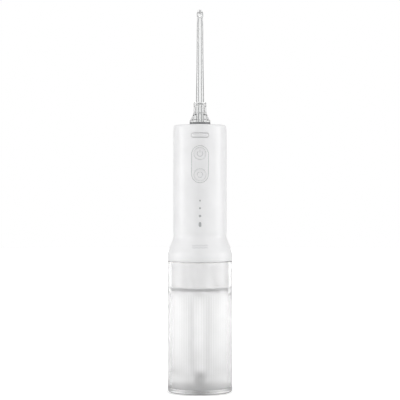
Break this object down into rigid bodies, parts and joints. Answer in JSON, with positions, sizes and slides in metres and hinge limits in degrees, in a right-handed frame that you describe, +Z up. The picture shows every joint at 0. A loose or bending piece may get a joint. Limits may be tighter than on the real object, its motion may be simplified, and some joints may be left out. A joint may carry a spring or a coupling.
{
  "type": "water flosser",
  "caption": "Cordless water flosser: white round handle with a piston pump, a clear bent jet nozzle and a fluted frosted water tank below.",
  "frame": {"origin": "centre of the tank's foot, on the surface that it stands on", "axes": "+Z up along the handle to the nozzle, -Y out of the face with the keys, +Y out of the charging port"},
  "size_m": [0.0564, 0.0564, 0.3326],
  "materials": {
    "white_shell": "fine satin",
    "frosted_tank": "frosted, see-through",
    "clear_nozzle": "clear, polished",
    "soft_keys": "soft touch",
    "gloss_button": "polished",
    "grey_seal": "matte",
    "silicone_hose": "satin",
    "grey_plastic": "satin",
    "nylon": "satin",
    "steel": "plated",
    "brass": "turned",
    "copper": "varnished winding",
    "circuit_board": "solder mask",
    "cell_wrap": "shrink film",
    "lamp": "clear lens",
    "wire_cover": "satin"
  },
  "bodies": {
    "tank": {"tank": "frosted_tank"},
    "handle": {"handle_casing": "white_shell", "button_panel": "soft_keys", "light_guide": "clear_nozzle", "base_neck": "white_shell", "neck_seal": "grey_seal", "pickup_tube": "clear_nozzle", "tube_grommet": "grey_seal", "tube_connector": "white_shell", "intake_filter": "grey_plastic", "gear_axle": "steel", "motor_can": "steel", "motor_end_cap": "nylon", "pump_cylinder": "nylon", "pump_head": "nylon", "inlet_valve": "grey_seal", "outlet_valve": "grey_seal", "inlet_hose": "silicone_hose", "outlet_hose": "silicone_hose", "chassis": "nylon", "chassis_screw_1": "steel", "chassis_screw_2": "steel", "chassis_screw_3": "steel", "battery_cell": "cell_wrap", "cell_tab_top": "steel", "cell_tab_bottom": "steel", "cell_wire_plus": "wire_cover", "cell_wire_minus": "wire_cover", "motor_wire_plus": "wire_cover", "motor_wire_minus": "wire_cover", "control_board": "circuit_board", "power_switch": "grey_plastic", "mode_switch": "grey_plastic", "led_1": "lamp", "led_2": "lamp", "led_3": "lamp", "led_4": "lamp", "charge_board": "circuit_board", "charge_port": "steel", "port_tongue": "grey_plastic", "socket_housing": "nylon", "release_spring": "steel"},
    "rotor": {"motor_shaft": "steel", "motor_armature": "copper", "pinion": "brass"},
    "gear": {"pump_gear": "nylon"},
    "piston": {"piston_yoke": "steel", "piston": "nylon", "piston_seal": "grey_seal"},
    "socket": {"nozzle_socket": "white_shell", "socket_seal": "grey_seal"},
    "nozzle": {"nozzle_tube": "clear_nozzle", "nozzle_hub": "clear_nozzle", "nozzle_seal": "grey_seal", "nozzle_tip": "clear_nozzle"},
    "release": {"release_button": "gloss_button", "latch_fork": "steel"},
    "power_key": {"power_key": "soft_keys"},
    "mode_key": {"mode_key": "soft_keys"},
    "port_cover": {"port_cover": "soft_keys"}
  },
  "joints": [
    {"name": "handle_lift", "type": "slide", "parent": "tank", "child": "handle", "axis": [0, 0, 1], "range_m": [0, 0.12]},
    {"name": "rotor_spin", "type": "hinge", "parent": "handle", "child": "rotor", "pos_m": [0, 0.004, 0.117], "axis": [0, 0, 1], "continuous": true},
    {"name": "gear_spin", "type": "hinge", "parent": "handle", "child": "gear", "pos_m": [0, -0.0085, 0.1146], "axis": [0, 0, 1], "continuous": true},
    {"name": "piston_stroke", "type": "slide", "parent": "handle", "child": "piston", "axis": [1, 0, 0], "range_m": [-0.003, 0.003]},
    {"name": "socket_turn", "type": "hinge", "parent": "handle", "child": "socket", "pos_m": [0, 0, 0.2312], "axis": [0, 0, 1], "continuous": true},
    {"name": "nozzle_pull", "type": "slide", "parent": "socket", "child": "nozzle", "axis": [0, 0, 1], "range_m": [0, 0.03]},
    {"name": "release_press", "type": "slide", "parent": "handle", "child": "release", "axis": [0, 1, 0], "range_m": [0, 0.0015], "stiffness_N_per_m": 900, "springref_m": -0.001, "deforming": ["release_spring"]},
    {"name": "power_key_press", "type": "slide", "parent": "handle", "child": "power_key", "axis": [0, 1, 0], "range_m": [0, 0.0005], "stiffness_N_per_m": 2500, "springref_m": -0.0002},
    {"name": "mode_key_press", "type": "slide", "parent": "handle", "child": "mode_key", "axis": [0, 1, 0], "range_m": [0, 0.0005], "stiffness_N_per_m": 2500, "springref_m": -0.0002},
    {"name": "port_cover_swing", "type": "hinge", "parent": "handle", "child": "port_cover", "pos_m": [0, 0.023, 0.1464], "axis": [1, 0, 0], "range_deg": [0, 110]}
  ],
  "couplings": [
    {"joint": "rotor_spin", "follows": "gear_spin", "ratio": -4}
  ]
}
